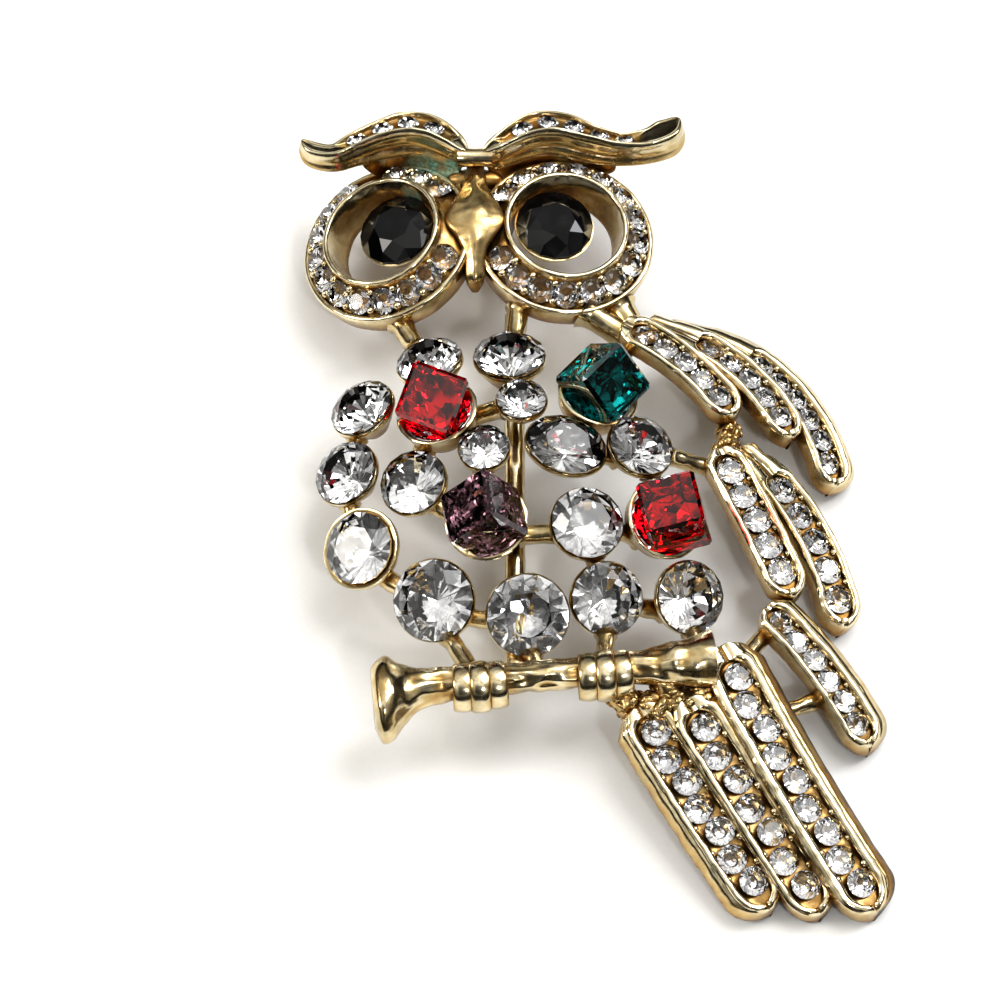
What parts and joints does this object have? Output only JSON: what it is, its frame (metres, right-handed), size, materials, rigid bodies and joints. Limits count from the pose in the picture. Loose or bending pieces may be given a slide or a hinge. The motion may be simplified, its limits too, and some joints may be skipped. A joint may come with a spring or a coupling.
{
  "type": "figural animal brooch",
  "caption": "Cast brooch shaped like an owl on a branch, set with clear, red, teal and purple glass, with black eyes and a bar pin on its back.",
  "frame": {"origin": "on the surface that the brooch lies on, under the middle of its outline", "axes": "+Y to the owl's head, +X to the right seen from the front, +Z out of the face"},
  "size_m": [0.0494, 0.071, 0.0147],
  "materials": {
    "plate": "polished cast metal with thin warm gold plate, worn and darkened in its recesses",
    "clear_glass": "cut clear glass with foil behind it",
    "black_glass": "cut black glass",
    "red_glass": "cut red glass with foil behind it",
    "teal_glass": "cut teal glass with foil behind it",
    "purple_glass": "cut dark purple glass with foil behind it"
  },
  "bodies": {
    "root": {"casting": "plate", "bar_pin": "plate", "eye_stone_left": "black_glass", "eye_stone_right": "black_glass", "cube_red_left": "red_glass", "cube_purple": "purple_glass", "cube_teal": "teal_glass", "cube_red_right": "red_glass", "clear_01": "clear_glass", "clear_02": "clear_glass", "clear_03": "clear_glass", "clear_04": "clear_glass", "clear_05": "clear_glass", "clear_06": "clear_glass", "clear_07": "clear_glass", "clear_08": "clear_glass", "clear_09": "clear_glass", "clear_10": "clear_glass", "clear_11": "clear_glass", "clear_12": "clear_glass", "clear_13": "clear_glass", "clear_14": "clear_glass", "clear_15": "clear_glass", "stones_ring_left": "clear_glass", "stones_ring_right": "clear_glass", "stones_brow_left": "clear_glass", "stones_brow_right": "clear_glass", "stones_wing_upper_a": "clear_glass", "stones_wing_upper_b": "clear_glass", "stones_wing_upper_c": "clear_glass", "stones_wing_middle_a": "clear_glass", "stones_wing_middle_b": "clear_glass", "stones_wing_lower": "clear_glass", "stones_tail_a": "clear_glass", "stones_tail_b": "clear_glass", "stones_tail_c": "clear_glass"}
  },
  "joints": []
}
